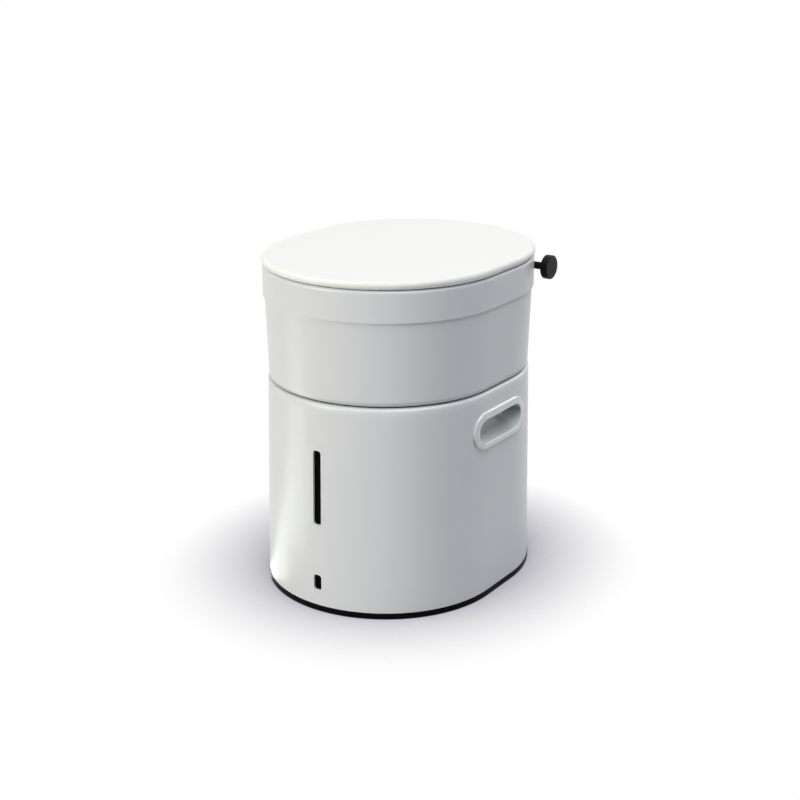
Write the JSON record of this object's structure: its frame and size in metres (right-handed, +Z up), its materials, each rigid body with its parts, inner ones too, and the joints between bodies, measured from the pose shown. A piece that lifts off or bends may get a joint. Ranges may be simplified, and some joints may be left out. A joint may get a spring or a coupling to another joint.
{
  "type": "composting toilet",
  "caption": "Free-standing composting toilet: oval two-part housing, hinged lid, urine-diverting seat insert, knob-turned trap door and lift-out containers.",
  "frame": {"origin": "on the floor under the middle of the plan's oval, where its two centre lines cross", "axes": "+Z up; -Y to the front with the sight slots; +X to the side of the trap door's knob"},
  "size_m": [0.3303, 0.4047, 0.448],
  "materials": {
    "white_shell": "satin, finely textured injection-moulded shell",
    "lid_plastic": "matt, finely textured injection-moulded cover",
    "warm_white_plastic": "smooth, easily wiped",
    "base_plastic": "matt black moulded",
    "black_rubber": "matt black",
    "black_plastic": "satin black moulded",
    "smoked_window": "dark smoked strip",
    "bush_plastic": "natural acetal",
    "steel_screws": "zinc plated",
    "steel_wire": "zinc-plated wire",
    "bin_plastic": "dark grey moulded, lightly grained",
    "green_plastic": "green moulded",
    "canister_plastic": "natural blow-moulded polyethylene"
  },
  "bodies": {
    "housing": {"base_pan": "base_plastic", "base_screws": "steel_screws", "lower_housing": "white_shell", "sight_window": "smoked_window", "grip_cup_right": "white_shell", "grip_cup_left": "white_shell", "seam_seal": "black_rubber"},
    "upper_module": {"upper_housing": "white_shell", "seat_ring": "white_shell", "diverter_insert": "warm_white_plastic", "shaft_bush_right": "bush_plastic", "shaft_bush_left": "bush_plastic", "hinge_bracket": "white_shell", "hinge_screws": "steel_screws"},
    "lid": {"lid": "lid_plastic", "lid_bumpers": "black_rubber", "hinge_pin": "steel_screws"},
    "trapdoor": {"trapdoor": "warm_white_plastic", "trapdoor_seal": "black_rubber", "trapdoor_shaft": "black_plastic", "shaft_clip": "steel_screws", "knob": "black_plastic", "knob_grub_screw": "steel_screws"},
    "solids_bin": {"solids_bin": "bin_plastic", "liner_ring": "green_plastic"},
    "bail": {"bin_bail": "steel_wire", "bail_grip": "bin_plastic"},
    "urine_canister": {"urine_canister": "canister_plastic", "canister_funnel": "green_plastic", "canister_handle": "bin_plastic"}
  },
  "joints": [
    {"name": "upper_lift", "type": "slide", "parent": "housing", "child": "upper_module", "axis": [0, 0, 1], "range_m": [0, 0.6]},
    {"name": "lid_hinge", "type": "hinge", "parent": "upper_module", "child": "lid", "pos_m": [0, 0.203, 0.437], "axis": [-1, 0, 0], "range_deg": [0, 100]},
    {"name": "door_turn", "type": "hinge", "parent": "upper_module", "child": "trapdoor", "pos_m": [0, 0.112, 0.421], "axis": [1, 0, 0], "range_deg": [0, 90]},
    {"name": "bin_lift", "type": "slide", "parent": "housing", "child": "solids_bin", "axis": [0, 0, 1], "range_m": [0, 0.3]},
    {"name": "bail_swing", "type": "hinge", "parent": "solids_bin", "child": "bail", "pos_m": [0, 0.054, 0.2442], "axis": [1, 0, 0], "range_deg": [0, 90]},
    {"name": "canister_lift", "type": "slide", "parent": "housing", "child": "urine_canister", "axis": [0, 0, 1], "range_m": [0, 0.3]}
  ],
  "couplings": [
    {"joint": "bin_lift", "follows": "upper_lift", "ratio": 0.5},
    {"joint": "canister_lift", "follows": "upper_lift", "ratio": 0.5},
    {"joint": "bail_swing", "follows": "upper_lift", "rad_per_m": 2.617}
  ]
}
